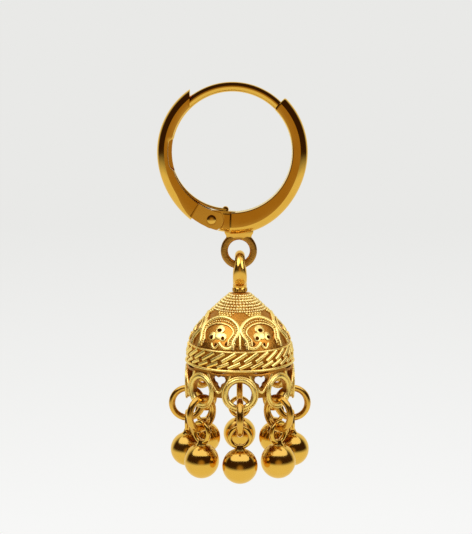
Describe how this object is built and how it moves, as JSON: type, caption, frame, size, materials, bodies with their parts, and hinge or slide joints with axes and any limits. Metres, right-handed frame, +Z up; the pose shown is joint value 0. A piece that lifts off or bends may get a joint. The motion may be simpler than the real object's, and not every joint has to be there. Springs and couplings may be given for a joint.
{
  "type": "jhumka earring",
  "caption": "Jhumka earring: hinged lever-back hoop with a pierced bell dome hanging from a ring below it, fringed with jump rings and polished balls.",
  "frame": {"origin": "middle of the ear wire at the top of the hoop, where the earring hangs in the ear", "axes": "+Z up, the hoop lies in the XZ plane with its lever on the -X side, and +Y points away from the front"},
  "size_m": [0.0154, 0.0144, 0.0387],
  "materials": {
    "polished_gold_plate": "mirror polished gold plating over brass",
    "cast_gold_plate": "cast brass, gold plated, fine granular relief",
    "ring_gold_plate": "gold plated drawn wire",
    "ball_gold_plate": "mirror polished gold plated balls"
  },
  "bodies": {
    "hoop": {"hoop": "polished_gold_plate"},
    "lever": {"lever": "polished_gold_plate", "hinge_rivet": "polished_gold_plate"},
    "drop": {"jhumka_dome": "cast_gold_plate", "link_0": "ring_gold_plate", "link_1": "ring_gold_plate", "link_2": "ring_gold_plate", "link_3": "ring_gold_plate", "link_4": "ring_gold_plate", "link_5": "ring_gold_plate", "link_6": "ring_gold_plate", "link_7": "ring_gold_plate", "ball_0": "ball_gold_plate", "ball_1": "ball_gold_plate", "ball_2": "ball_gold_plate", "ball_3": "ball_gold_plate", "ball_4": "ball_gold_plate", "ball_5": "ball_gold_plate", "ball_6": "ball_gold_plate", "ball_7": "ball_gold_plate"}
  },
  "joints": [
    {"name": "lever_hinge", "type": "hinge", "parent": "hoop", "child": "lever", "pos_m": [-0.00206, 0, -0.01294], "axis": [0, -1, 0], "range_deg": [0, 60]},
    {"name": "drop_swing", "type": "hinge", "parent": "hoop", "child": "drop", "pos_m": [0.00064, 0, -0.01756], "axis": [1, 0, 0], "range_deg": [-60, 60]}
  ]
}
